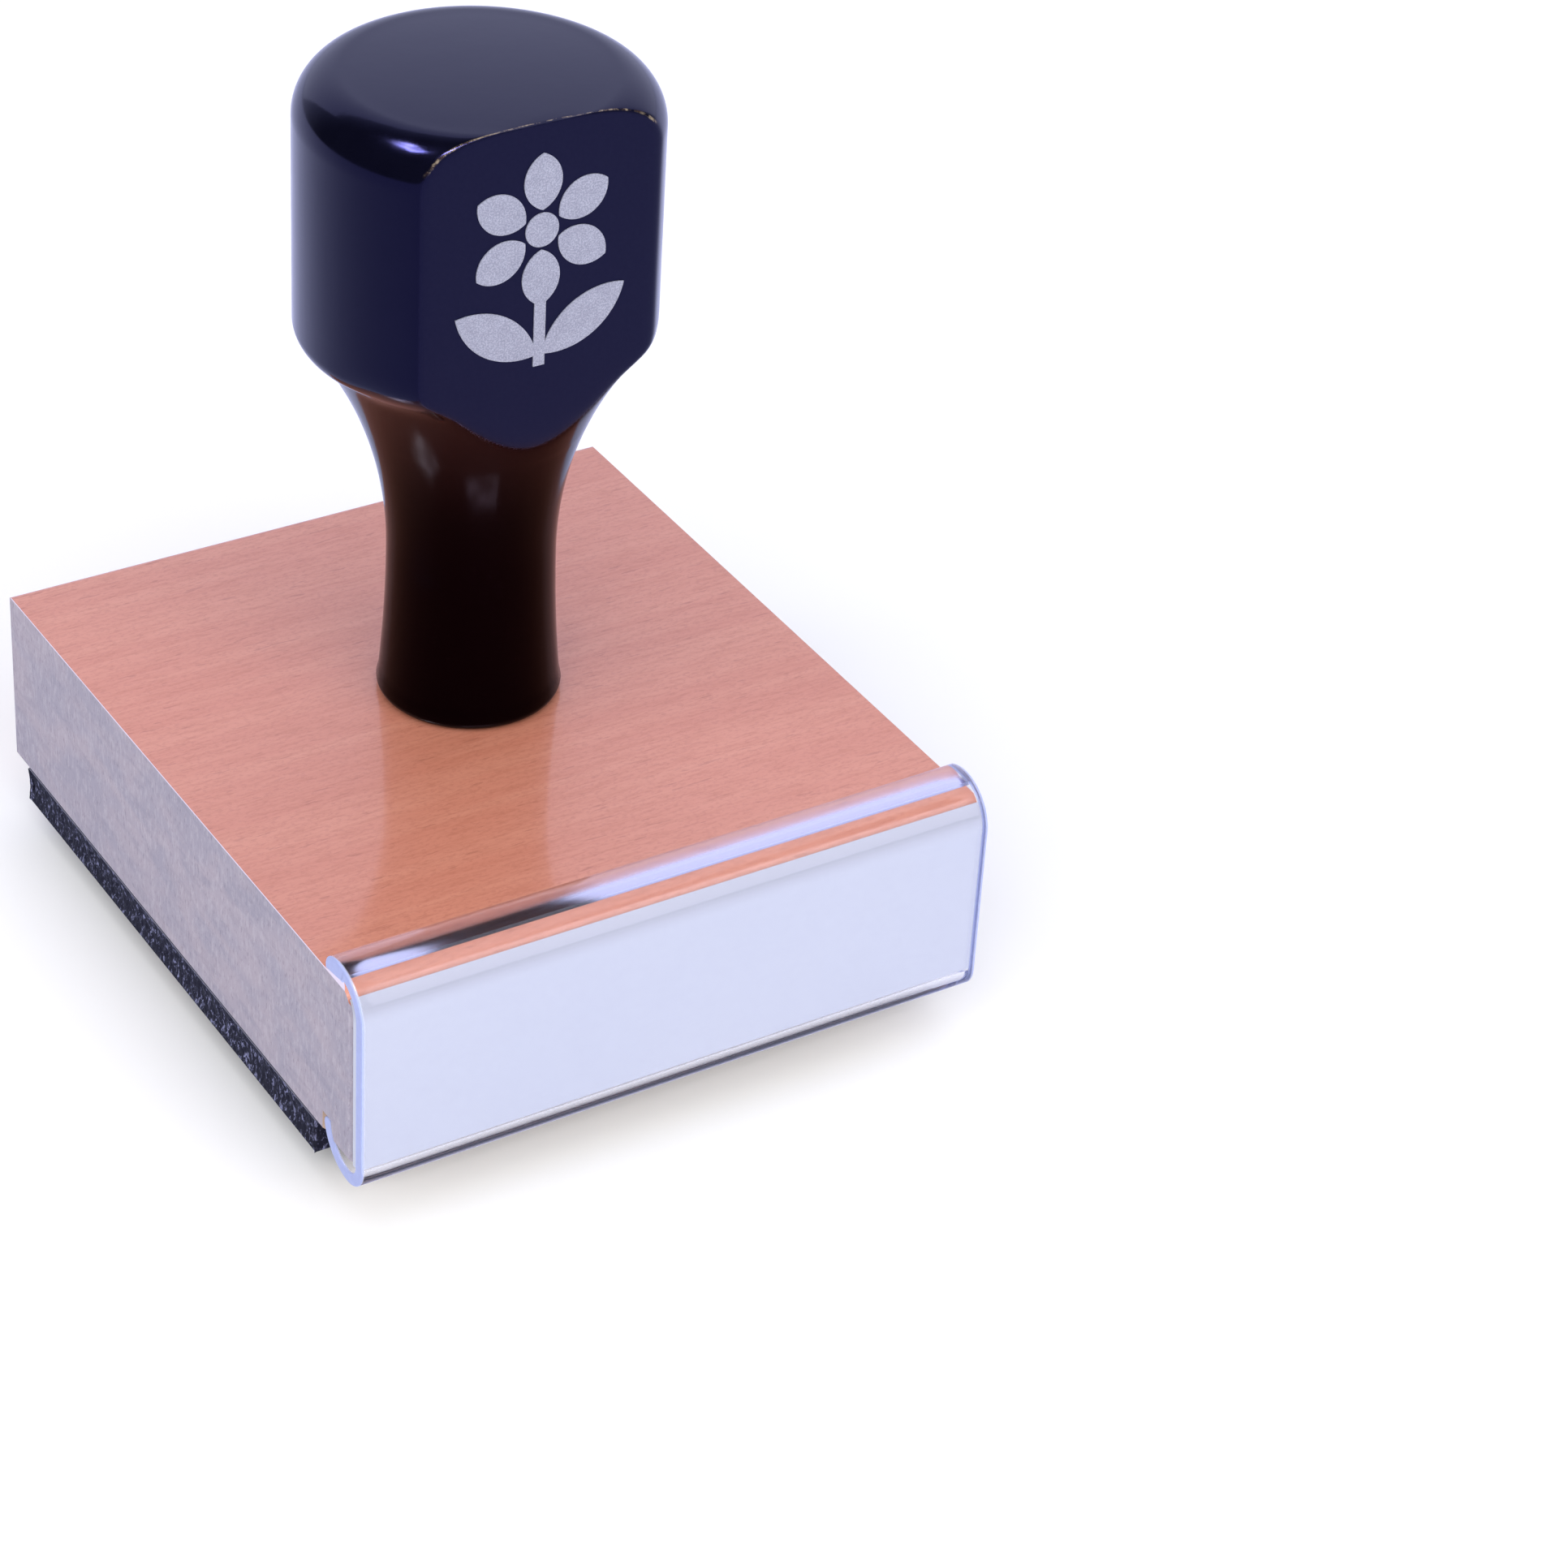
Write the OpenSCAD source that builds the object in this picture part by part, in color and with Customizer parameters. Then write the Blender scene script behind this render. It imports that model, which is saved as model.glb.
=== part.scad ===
// Rubber stamp: a turned handle on a moulded wood block, with a clear cover over its index label,
// and a foam cushion and a rubber printing die underneath.
// The origin is the centre of the printing face, on the handle's axis.
// +Z runs up the handle, -Y faces the index label and +X runs along the block's front edge.

/* [Wood block] */
// Width of the block, along its labelled front
block_w = 57; // [45:0.5:75]
// From the handle's axis to the back of the block
back_reach = 29.4; // [27:0.1:36]
// From the handle's axis to the wood behind the label
front_reach = 34.05; // [33.5:0.05:40]
// Height of the wood
block_h = 16.3; // [14:0.1:22]
// Rounding of the long back edges
back_edge_r = 0.7; // [0.3:0.1:1.5]
// Break of the edges round the two cut ends
end_break = 0.35; // [0.1:0.05:0.8]
// Rise of the bead along the front edge, under the cover
bead_h = 0.3; // [0.1:0.05:0.4]

/* [Index cover and label] */
// Thickness of the clear cover
cover_t = 1.08; // [0.8:0.02:1.2]
// Outer radius of the cover's top corner
cover_top_r = 3.86; // [3.8:0.02:3.96]
// Outer radius of the cover's front bottom corner
cover_heel_r = 2.4; // [2.2:0.05:2.6]
// Outer radius of the hook that goes up into the groove
cover_hook_r = 4; // [3.8:0.05:4.1]
// How far the cover hangs below the wood
cover_drop = 2.05; // [1.9:0.05:2.2]
// Thickness of the label card
label_t = 0.45; // [0.2:0.05:0.5]

/* [Handle] */
// Radius of the knob
knob_r = 14.5; // [13:0.1:16]
// Height of the handle above the block
handle_h = 56.4; // [50:0.1:65]
// Rounding of the knob's top edge
knob_edge_r = 3.9; // [3:0.1:5]
// Rise of the knob's slightly domed top
dome_h = 0.3; // [0.1:0.05:0.8]
// Height of the knob's lower edge above the block
knob_z = 33.2; // [32:0.1:34]
// Rounding of the knob's lower edge
knob_under_r = 1.65; // [1.5:0.05:2.5]
// Radius of the waist
waist_r = 6.95; // [6:0.05:7.5]
// Height of the waist above the block
waist_z = 13.7; // [13:0.1:15]
// Radius of the hollow curve from the waist up to the knob
flare_arc_r = 34.2; // [33:0.1:38]
// Radius of the hollow curve from the waist down to the foot
foot_arc_r = 129; // [100:1:200]
// Rounding of the foot's edge
foot_edge_r = 0.9; // [0.4:0.1:1.2]
// From the handle's axis to the flat on the knob's front
flat_reach = 10.05; // [9.5:0.05:12]

/* [Screw] */
// Radius of the screw's shank
screw_r = 2; // [1.8:0.05:2.2]
// Radius of the screw's head
screw_head_r = 4; // [3.6:0.1:4.2]
// Length of the screw
screw_l = 28; // [24:0.5:29]
// Pitch of the thread
thread_pitch = 1.8; // [1.5:0.1:2.5]

/* [Cushion and die] */
// Thickness of the foam cushion
cushion_t = 3.2; // [2:0.1:5]
// Thickness of each adhesive film
film_t = 0.1; // [0.05:0.01:0.2]
// Diameter of the rubber die
die_d = 48; // [40:0.5:52]
// Thickness of the die's base sheet
die_base_t = 1.4; // [1:0.1:2]
// Height of the raised design
relief_t = 0.9; // [0.5:0.1:1.2]

/* [Hidden] */

// Cuts run past a face by this much, and joined shapes lap by this much
past = 1;
lap = 0.05;

// Heights of the stack, from the printing face up
die_top = relief_t + die_base_t;
cushion_z = die_top + film_t;
block_z = cushion_z + cushion_t + film_t;
block_top = block_z + block_h;

// Cushion: flush with the block's ends, set in from its long edges
back_inset = 2.5;
front_inset = 6.1;
film_inset = 0.1;
cushion_back = back_reach - back_inset;
cushion_front = front_reach - front_inset;

// Cover section, in Y and Z, with Z counted from the top of the wood
label_room = 0.77;
wall_in = -front_reach - label_room;
wall_out = wall_in - cover_t;
top_c = [wall_out + cover_top_r, -2];
heel_c = [wall_out + cover_heel_r, -block_h - cover_drop + cover_heel_r];
hook_c = [heel_c[0], -block_h - cover_drop + cover_hook_r];
hook_mid_r = cover_hook_r - cover_t / 2;
hook_end_angle = -10;
hook_end = hook_c + hook_mid_r * [cos(hook_end_angle), sin(hook_end_angle)];

// Lip: the cover's thicker edge, which rests along the bead of the wood and has a round end
lip_gap = 0.06;
lip_end_r = 1.15;
lip_angle = 66;
lip_c = top_c + polar(cover_top_r - lip_end_r, lip_angle);
lip_end = lip_c[0] + sqrt(pow(lip_end_r, 2) - pow(lip_c[1] - lip_gap, 2));
lip_width = 2.75;

// Groove under the block, which takes the hook
groove_gap = 0.18;
groove_back = hook_c[0] + cover_hook_r + groove_gap;
groove_top = hook_end[1] + cover_t / 2 + groove_gap;
nose_r = cover_hook_r - cover_t - groove_gap;
nose_edge_r = 0.5;

// Front edge of the wood: a low bead that runs into a round corner
corner_r = 2.2;
corner_c = [-front_reach + corner_r, bead_h - corner_r];
bead_gap = 0.1;
bead_start = lip_end + bead_gap;

// Label: a band that follows the inside of the cover
label_gap = 0.1;
label_front_r = cover_top_r - cover_t - label_gap;
label_end_angle = 137;
label_bottom = -block_h + label_gap;
label_w = block_w - 2 * label_gap;

// Handle: radius where the foot's curve meets the block, and the middle of the knob's top rounding
foot_r = waist_r + foot_arc_r - sqrt(pow(foot_arc_r, 2) - pow(waist_z, 2));
dome_base = handle_h - dome_h;
dome_c_r = knob_r - knob_edge_r;
dome_arc_r = (pow(dome_c_r, 2) + pow(dome_h, 2)) / (2 * dome_h);

// Screw
screw_inset = 0.3;
screw_z = block_z + screw_inset;
screw_head_h = screw_head_r - screw_r;
hole_gap = 0.15;
hole_r = screw_r + hole_gap;
sink_gap = 0.2;
sink_r = screw_head_r + screw_inset + sink_gap;
thread_l = 16;
thread_root_r = 0.9 * screw_r;
tip_l = 3.5;
tip_r = 0.15;
slot_w = 1.1;
slot_depth = 1.1;
bore_depth = 15;

// Emblem
emblem_z = block_top + 44.6;
emblem_t = 0.1;

function polar(r, a) = [r * cos(a), r * sin(a)];

// The part of its children within a wedge about c, between two angles less than 180 degrees apart
module wedge(c, start, end) {
    far = 4 * cover_hook_r;
    middle = (start + end) / 2;
    intersection() {
        children();
        translate(c) polygon([[0, 0], polar(far, start), polar(far, middle), polar(far, end)]);
    }
}

// A quarter ring about c, from radius r_in to r_out, on the side that sy and sz point to
module quarter_ring(c, r_out, r_in, sy, sz) {
    translate(c) intersection() {
        difference() {
            circle(r = r_out, $fn = 128);
            circle(r = r_in, $fn = 128);
        }
        quadrant(sy, sz, r_out + past);
    }
}

// A square of the given size in one quadrant
module quadrant(sy, sz, size) {
    translate([sy < 0 ? -size : 0, sz < 0 ? -size : 0]) square(size);
}

// Stands a Y-Z section up and runs it along X, centred, with Z counted from the top of the wood
module along_block(width) {
    translate([-width / 2, 0, block_top]) rotate([90, 0, 90]) linear_extrude(width) children();
}

// A pointed leaf or petal from the origin along +X. size is its length and width
module leaf(size) {
    r = (pow(size[0], 2) + pow(size[1], 2)) / (4 * size[1]);
    intersection() {
        translate([size[0] / 2, r - size[1] / 2]) circle(r = r, $fn = 96);
        translate([size[0] / 2, size[1] / 2 - r]) circle(r = r, $fn = 96);
    }
}

module ring(r, width) {
    difference() {
        circle(r = r, $fn = 180);
        circle(r = r - width, $fn = 180);
    }
}

module block_section() {
    difference() {
        union() {
            // Body and bead, with the long back edges rounded
            polygon([[corner_c[0], -block_h], [back_reach - back_edge_r, -block_h],
                     [back_reach - back_edge_r, 0], [bead_start, 0], [corner_c[0], bead_h]]);
            translate([0, back_edge_r - block_h]) square([back_reach, block_h - 2 * back_edge_r]);
            for (z = [-back_edge_r, back_edge_r - block_h])
                translate([back_reach - back_edge_r, z]) circle(r = back_edge_r, $fn = 48);
            // Front, from the round top corner to the small bottom one
            translate(corner_c) circle(r = corner_r, $fn = 96);
            translate([-front_reach, nose_edge_r - block_h])
                square([front_reach, block_h - nose_edge_r + corner_c[1]]);
            translate([nose_edge_r - front_reach, -block_h]) square([front_reach, block_h / 2]);
            translate([nose_edge_r - front_reach, nose_edge_r - block_h])
                circle(r = nose_edge_r, $fn = 48);
        }
        groove_section();
    }
}

// The room for the hook: outside the rounded nose, up to a flat top
module groove_section() {
    difference() {
        translate([hook_c[0], -block_h - past])
            square([groove_back - hook_c[0], groove_top + block_h + past]);
        translate(hook_c) circle(r = nose_r, $fn = 128);
        translate(hook_c) square([nose_r, past]);
    }
}

module cover_section() {
    // Lip, with an underside that follows the bead
    bead_slope = bead_h / (bead_start - corner_c[0]);
    inner = lip_end - lip_width;
    intersection() {
        union() {
            wedge(top_c, lip_angle, 120) translate(top_c) circle(r = cover_top_r, $fn = 128);
            translate(lip_c) circle(r = lip_end_r, $fn = 96);
        }
        polygon([[inner, lip_gap + bead_slope * (bead_start - inner)], [bead_start, lip_gap],
                 [bead_start, cover_top_r], [inner, cover_top_r]]);
    }
    // Top corner, wall, heel and hook
    quarter_ring(top_c, cover_top_r, cover_top_r - cover_t, -1, 1);
    translate([wall_out, heel_c[1]]) square([cover_t, top_c[1] - heel_c[1]]);
    quarter_ring(heel_c, cover_heel_r, cover_heel_r - cover_t, -1, -1);
    wedge(hook_c, -90, hook_end_angle) quarter_ring(hook_c, cover_hook_r, cover_hook_r - cover_t, 1, -1);
    translate(hook_end) circle(r = cover_t / 2, $fn = 48);
}

module label_section() {
    label_in = top_c[0] - label_front_r;
    translate([label_in, label_bottom]) square([label_t, top_c[1] - label_bottom]);
    wedge(top_c, label_end_angle, 180) quarter_ring(top_c, label_front_r, label_front_r - label_t, -1, 1);
}

// Half of the handle's outline: radius across, height above the block up
module handle_outline() {
    difference() {
        square([knob_r, knob_z]);
        // Hollow curves above and below the waist
        intersection() {
            translate([waist_r + flare_arc_r, waist_z]) circle(r = flare_arc_r, $fn = 360);
            translate([0, waist_z]) square([2 * knob_r, knob_z]);
        }
        intersection() {
            translate([waist_r + foot_arc_r, waist_z]) circle(r = foot_arc_r, $fn = 720);
            translate([0, -past]) square([2 * knob_r, waist_z + past]);
        }
        // Rounded edge of the foot
        difference() {
            translate([foot_r - foot_edge_r, -past]) square([knob_r, foot_edge_r + past]);
            translate([foot_r - foot_edge_r, foot_edge_r]) circle(r = foot_edge_r, $fn = 48);
        }
    }
    // Knob: rounded below and above
    under_z = knob_z + knob_under_r - lap;
    translate([0, knob_z - lap]) square([knob_r - knob_under_r, dome_base - knob_z + lap - knob_edge_r]);
    translate([0, under_z]) square([knob_r, dome_base - knob_edge_r - under_z]);
    intersection() {
        translate([knob_r - knob_under_r, under_z]) circle(r = knob_under_r, $fn = 96);
        translate([0, 0]) square([2 * knob_r, handle_h]);
    }
    translate([dome_c_r, dome_base - knob_edge_r]) circle(r = knob_edge_r, $fn = 96);
    translate([0, dome_base - knob_edge_r]) square([dome_c_r, knob_edge_r]);
    intersection() {
        translate([0, handle_h - dome_arc_r]) circle(r = dome_arc_r, $fn = 720);
        translate([0, dome_base - lap]) square([dome_c_r, dome_h + 2 * lap]);
    }
}

module handle() {
    color([0.12, 0.12, 0.2]) translate([0, 0, block_top]) difference() {
        rotate_extrude($fn = 180) handle_outline();
        translate([-2 * knob_r, -flat_reach - 2 * knob_r, -past])
            cube([4 * knob_r, 2 * knob_r, handle_h + 2 * past]);
        translate([0, 0, -past]) cylinder(r = hole_r, h = bore_depth + past, $fn = 48);
    }
}

// A flower on a stem with two leaves, printed on the knob's flat
module emblem() {
    petals = 6;
    petal = [4.8, 3.3];
    petal_start = 1.7;
    centre_r = 1.45;
    flower = [0, 2.6];
    stem_w = 1;
    stem_z = [-9.2, 0.2];
    leaf_at = [0.2, -8.2];
    leaf_angle = 33;
    leaf_size = [8.6, 3.6];
    color([0.65, 0.66, 0.73])
        translate([0, -flat_reach, emblem_z]) rotate([90, 0, 0]) linear_extrude(emblem_t) {
        for (i = [0 : petals - 1])
            translate(flower) rotate(90 + i * 360 / petals) translate([petal_start, 0]) leaf(petal);
        translate(flower) circle(r = centre_r, $fn = 48);
        translate([-stem_w / 2, stem_z[0]]) square([stem_w, stem_z[1] - stem_z[0]]);
        for (side = [0, 1]) mirror([side, 0]) translate(leaf_at) rotate(leaf_angle) leaf(leaf_size);
    }
}

module mount_block() {
    color([0.83, 0.6, 0.53]) difference() {
        intersection() {
            along_block(block_w) block_section();
            // Breaks the edges round the two cut ends
            translate([0, back_reach + past, 0]) rotate([90, 0, 0])
                linear_extrude(back_reach + front_reach + 2 * past)
                broken_rectangle(block_w, block_z, block_top + bead_h);
            translate([0, (back_reach - front_reach) / 2, block_z - past])
                linear_extrude(block_h + 3 * past) translate([0, -(back_reach + front_reach) / 2])
                broken_rectangle(block_w, 0, back_reach + front_reach);
        }
        // Screw hole and its countersink
        translate([0, 0, block_z - past]) cylinder(r = hole_r, h = block_h + 2 * past, $fn = 48);
        translate([0, 0, block_z]) cylinder(r1 = sink_r, r2 = hole_r, h = sink_r - hole_r, $fn = 48);
    }
}

// A rectangle centred on x = 0, from y = low to y = high, with its corners cut by end_break
module broken_rectangle(width, low, high) {
    w = width / 2;
    c = end_break;
    polygon([[c - w, low], [w - c, low], [w, low + c], [w, high - c],
             [w - c, high], [c - w, high], [-w, high - c], [-w, low + c]]);
}

module index_cover() {
    color([0.7, 0.74, 0.95, 0.45]) along_block(block_w) cover_section();
}

module index_label() {
    color([0.94, 0.94, 1]) along_block(label_w) label_section();
}

// Countersunk wood screw with a slotted head, its tip in the handle
module handle_screw() {
    thread_z = screw_l - tip_l - thread_l;
    thread_lap = 0.5;
    color([0.72, 0.73, 0.75]) translate([0, 0, screw_z]) difference() {
        union() {
            cylinder(r1 = screw_head_r, r2 = screw_r, h = screw_head_h, $fn = 64);
            cylinder(r = screw_r, h = thread_z + thread_lap, $fn = 64);
            translate([0, 0, thread_z]) linear_extrude(thread_l, twist = -360 * thread_l / thread_pitch,
                                                       slices = 90)
                translate([screw_r - thread_root_r, 0]) circle(r = thread_root_r, $fn = 18);
            translate([0, 0, thread_z + thread_l - lap])
                cylinder(r1 = thread_root_r, r2 = tip_r, h = tip_l, $fn = 64);
        }
        translate([-screw_head_r - past, -slot_w / 2, -past])
            cube([2 * (screw_head_r + past), slot_w, slot_depth + past]);
    }
}

module sheet_under_block(z, thickness, inset) {
    translate([inset - block_w / 2, inset - cushion_front, z])
        cube([block_w - 2 * inset, cushion_front + cushion_back - 2 * inset, thickness]);
}

module cushion_film() {
    color([0.85, 0.85, 0.8]) sheet_under_block(block_z - film_t, film_t, film_inset);
}

module cushion() {
    color([0.13, 0.13, 0.2]) sheet_under_block(cushion_z, cushion_t, 0);
}

module die_film() {
    color([0.85, 0.85, 0.8]) translate([0, 0, die_top]) cylinder(d = die_d, h = film_t, $fn = 180);
}

// The raised design: a daisy in a ring of leaves
module die_design() {
    ring_r = die_d / 2 - 1.6;
    ring_w = 0.8;
    vine_r = 0.72 * ring_r;
    vine_w = 0.5;
    leaf_pairs = 14;
    outer_leaf = [4.6, 2];
    inner_leaf = [4.2, 1.8];
    daisy_petals = 12;
    daisy_petal = [7, 2];
    petal_start = 3.1;
    daisy_centre_r = 2.6;
    ring(ring_r, ring_w);
    ring(vine_r + vine_w / 2, vine_w);
    for (i = [0 : leaf_pairs - 1]) rotate(90 + (i + 0.5) * 360 / leaf_pairs) {
        translate([vine_r - 2 * lap, 0]) leaf(outer_leaf);
        translate([vine_r + 2 * lap, 0]) rotate(180) leaf(inner_leaf);
    }
    circle(r = daisy_centre_r, $fn = 64);
    for (i = [0 : daisy_petals - 1])
        rotate(i * 360 / daisy_petals) translate([petal_start, 0]) leaf(daisy_petal);
}

module rubber_die() {
    color([0.75, 0.3, 0.25]) {
        translate([0, 0, relief_t]) cylinder(d = die_d, h = die_base_t, $fn = 180);
        linear_extrude(relief_t + lap) die_design();
    }
}

handle();
emblem();
mount_block();
index_cover();
index_label();
handle_screw();
cushion_film();
cushion();
die_film();
rubber_die();
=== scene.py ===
"""A rubber stamp: a lacquered handle on a stained block, a clear cover over the label, and a foam pad.

Every piece is in metres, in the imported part's frame. The printing face is at z = 0, the label faces -Y
and the handle stands on the Z axis.
"""

import math

import bmesh
import bpy
import numpy as np
from mathutils import Euler, Matrix, Vector, noise


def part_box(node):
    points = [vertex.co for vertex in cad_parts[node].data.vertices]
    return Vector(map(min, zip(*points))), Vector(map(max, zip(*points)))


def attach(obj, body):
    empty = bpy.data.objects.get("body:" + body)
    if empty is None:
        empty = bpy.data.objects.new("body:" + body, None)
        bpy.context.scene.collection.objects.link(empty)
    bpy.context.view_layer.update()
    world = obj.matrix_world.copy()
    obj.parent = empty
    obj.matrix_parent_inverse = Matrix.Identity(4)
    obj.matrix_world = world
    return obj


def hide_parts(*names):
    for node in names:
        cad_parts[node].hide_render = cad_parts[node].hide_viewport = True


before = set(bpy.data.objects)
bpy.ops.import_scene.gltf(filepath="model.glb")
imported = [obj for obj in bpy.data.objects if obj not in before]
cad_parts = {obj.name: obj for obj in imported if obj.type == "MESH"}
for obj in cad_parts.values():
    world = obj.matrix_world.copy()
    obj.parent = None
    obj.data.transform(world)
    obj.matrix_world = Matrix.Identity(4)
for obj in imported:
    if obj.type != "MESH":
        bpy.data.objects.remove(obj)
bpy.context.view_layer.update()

MM = 0.001

# ---------------------------------------------------------------- places and sizes

handle_low, handle_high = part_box("handle")
block_low, block_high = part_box("mount_block")
cushion_low, cushion_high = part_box("cushion")
cover_low, cover_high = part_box("index_cover")

BLOCK_TOP = handle_low[2]
HALF_W = block_high[0]

# Handle profile, as in the part: radii across and heights above the block
KNOB_R = handle_high[0]
FLAT_REACH = -handle_low[1]
HANDLE_H = handle_high[2] - handle_low[2]
KNOB_EDGE_R = 3.9 * MM
DOME_H = 0.3 * MM
KNOB_Z = 33.15 * MM
KNOB_UNDER_R = 1.65 * MM
KNOB_UNDER_START = math.radians(-80)
WAIST_R = 6.95 * MM
WAIST_Z = 13.7 * MM
FLARE_ARC_R = 34.2 * MM
FLARE_TURN_Z = 26 * MM
FOOT_ARC_R = 129 * MM
FOOT_EDGE_R = 0.9 * MM
BORE_R = 2.15 * MM
BORE_DEPTH = 15 * MM
DOME_CENTRE_R = 0.35 * MM
FLAT_EDGE_R = 0.16 * MM
HANDLE_COLUMNS = 432
# Lacquer: black up to the first height, and worn along the flat's edge above the second
DARK_NECK_Z = 19 * MM
WORN_Z = 53.6 * MM

# The knob's lower edge is sanded fully up to the first angle from the front, and not past the second
SANDED_SPREAD = 0.76 * MM
SANDED_ANGLES = (60, 80)
SANDED_LOW = 24 * MM
SANDED_HIGH = 42 * MM

# Cover section, as in the part, in Y and Z with Z counted from the top of the wood
COVER_T = 1.08 * MM
COVER_TOP_R = 3.86 * MM
COVER_HEEL_R = 2.4 * MM
COVER_HOOK_R = 4 * MM
COVER_LIP_R = 1.15 * MM
COVER_LIP_ANGLE = math.radians(66)
COVER_LIP_W = 2.75 * MM
COVER_LIP_GAP = 0.06 * MM
BEAD_H = 0.3 * MM
BEAD_REACH = 2.08 * MM
COVER_END_R = 0.14 * MM
HOOK_END_ANGLE = math.radians(-10)
COVER_TIP_STEPS = 7

# The region of the block's bare groove: up from the underside, and back from the front face
GROOVE_DEPTH = 4.2 * MM
GROOVE_FRONT = 0.5 * MM
GROOVE_BACK = 13.05 * MM

# Foam pad: the grid over its sides, and how far they are cut back
FOAM_STEP = 0.24 * MM
FOAM_ROWS = 15
FOAM_INSET = 0.14 * MM
FOAM_WAIST = 0.22 * MM
FOAM_SKIN_RINGS = (0.985, 0.95)

# Studio, with its lights aimed at the middle of the object
FLOOR_Z = -0.05 * MM
FLOOR_REACH = 3.0
LIT_POINT = Vector((0, 0, 0.04))
WHITE = (1, 1, 1)
WINDOW_BLUE = (0.85, 0.88, 1.0)
SKY_BLUE = (0.64, 0.67, 1.0)
BRIGHT_AZIMUTH = math.radians(56.1)

# Camera, fitted to the photo. It turns about X, then Y, then Z.
CAMERA_LENS = 104.413
CAMERA_SENSOR = 36
CAMERA_AT = Vector((-154.281, -277.507, 232.067)) * MM
CAMERA_TURN = [math.radians(angle) for angle in (55.34, -3.227, -31.699)]


# ---------------------------------------------------------------- mesh helpers


def new_piece(name, verts, faces, body):
    """A smooth mesh object that rides on a body."""
    mesh = bpy.data.meshes.new(name)
    mesh.from_pydata([tuple(v) for v in verts], [], faces)
    mesh.validate()
    mesh.polygons.foreach_set("use_smooth", [True] * len(mesh.polygons))
    piece = bpy.data.objects.new(name, mesh)
    bpy.context.scene.collection.objects.link(piece)
    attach(piece, body)
    return piece


def arc(centre, radius, start, end, steps):
    """Points on an arc, both ends included, with angles in radians."""
    angles = np.linspace(start, end, steps + 1)
    return [(centre[0] + radius * math.cos(a), centre[1] + radius * math.sin(a)) for a in angles]


def grid_faces(rows, columns):
    """Quads of a grid of points, row by row, with each row closed round."""
    faces = []
    for row in range(rows - 1):
        low, high = row * columns, (row + 1) * columns
        for here in range(columns):
            beside = (here + 1) % columns
            faces.append((low + here, low + beside, high + beside, high + here))
    return faces


# ---------------------------------------------------------------- handle


def handle_outline():
    """Radius and height above the block, from the top of the screw's bore to the middle of the dome."""
    foot_r = WAIST_R + FOOT_ARC_R - math.sqrt(FOOT_ARC_R**2 - WAIST_Z**2)
    points = [(BORE_R, BORE_DEPTH), (BORE_R, 0.0), (foot_r - FOOT_EDGE_R, 0.0)]
    points += arc((foot_r - FOOT_EDGE_R, FOOT_EDGE_R), FOOT_EDGE_R, -math.pi / 2, 0, 8)[1:]
    for z in np.linspace(FOOT_EDGE_R, WAIST_Z, 18)[1:]:
        points.append((WAIST_R + FOOT_ARC_R - math.sqrt(FOOT_ARC_R**2 - (WAIST_Z - z) ** 2), z))
    # Finer steps where the flare turns outwards
    lower = np.linspace(WAIST_Z, FLARE_TURN_Z, 20)[1:]
    upper = np.linspace(FLARE_TURN_Z, KNOB_Z, 34)[1:]
    for z in np.concatenate([lower, upper]):
        points.append((WAIST_R + FLARE_ARC_R - math.sqrt(FLARE_ARC_R**2 - (z - WAIST_Z) ** 2), z))
    under_c = (KNOB_R - KNOB_UNDER_R, KNOB_Z + KNOB_UNDER_R)
    points += arc(under_c, KNOB_UNDER_R, KNOB_UNDER_START, 0, 14)
    edge_c = (KNOB_R - KNOB_EDGE_R, HANDLE_H - DOME_H - KNOB_EDGE_R)
    for z in np.linspace(under_c[1], edge_c[1], 28)[1:]:
        points.append((KNOB_R, z))
    points += arc(edge_c, KNOB_EDGE_R, 0, math.pi / 2, 30)[1:]
    dome_r = (edge_c[0] ** 2 + DOME_H**2) / (2 * DOME_H)
    for r in np.linspace(edge_c[0], DOME_CENTRE_R, 12)[1:]:
        points.append((r, HANDLE_H - dome_r + math.sqrt(dome_r**2 - r**2)))
    return points


def sanded_outline(outline):
    """The outline with the knob's lower edge sanded smooth, as it is beside the flat."""
    step = 0.02 * MM
    side = [p for p in outline if p[0] > BORE_R and SANDED_LOW - MM < p[1] < SANDED_HIGH + MM]
    heights = np.arange(SANDED_LOW, SANDED_HIGH, step)
    radii = np.interp(heights, [z for _, z in side], [r for r, _ in side])
    reach = round(3 * SANDED_SPREAD / step)
    weights = np.exp(-0.5 * (np.arange(-reach, reach + 1) * step / SANDED_SPREAD) ** 2)
    smooth = np.convolve(np.pad(radii, reach, mode="edge"), weights / weights.sum(), mode="valid")
    low, high = SANDED_LOW + 2 * MM, SANDED_HIGH - 2 * MM
    return [(float(np.interp(z, heights, smooth)) if low < z < high else r, z) for r, z in outline]


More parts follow.
